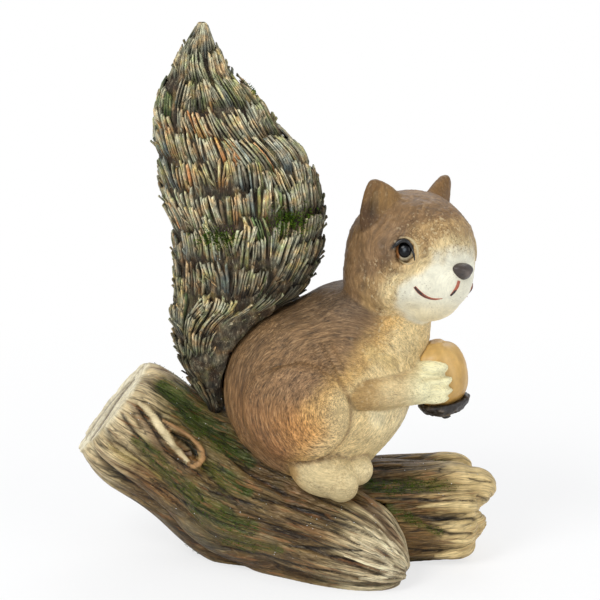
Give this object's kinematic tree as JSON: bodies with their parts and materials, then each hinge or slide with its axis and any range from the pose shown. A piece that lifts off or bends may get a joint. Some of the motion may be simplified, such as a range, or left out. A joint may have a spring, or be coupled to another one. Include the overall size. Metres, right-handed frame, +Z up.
{
  "type": "animal figurine",
  "caption": "Painted cast squirrel holding a nut, seated on a forked bark log with a tall upright tail; stands on a flat underside.",
  "frame": {"origin": "on the flat underside of the log, below the squirrel", "axes": "+Z up; +X from the log's sawn end towards the branch's torn end, the way the squirrel's body faces; -Y towards the side on which the squirrel turns its face"},
  "size_m": [0.1759, 0.0817, 0.227],
  "materials": {
    "painted_bark": "satin",
    "painted_fur": "satin",
    "painted_tail": "matte",
    "painted_nut": "satin",
    "painted_cup": "satin",
    "painted_nose": "satin",
    "eye_bead": "gloss",
    "pin_steel": "satin"
  },
  "bodies": {
    "root": {"trunk": "painted_bark", "branch": "painted_bark", "body": "painted_fur", "head": "painted_fur", "left_ear": "painted_fur", "right_ear": "painted_fur", "left_forearm": "painted_fur", "right_forearm": "painted_fur", "left_foot": "painted_fur", "right_foot": "painted_fur", "tail": "painted_tail", "nut": "painted_nut", "nut_cup": "painted_cup", "nose": "painted_nose", "left_eye": "eye_bead", "right_eye": "eye_bead", "tail_pin": "pin_steel", "seat_pins": "pin_steel", "branch_pin": "pin_steel"}
  },
  "joints": []
}
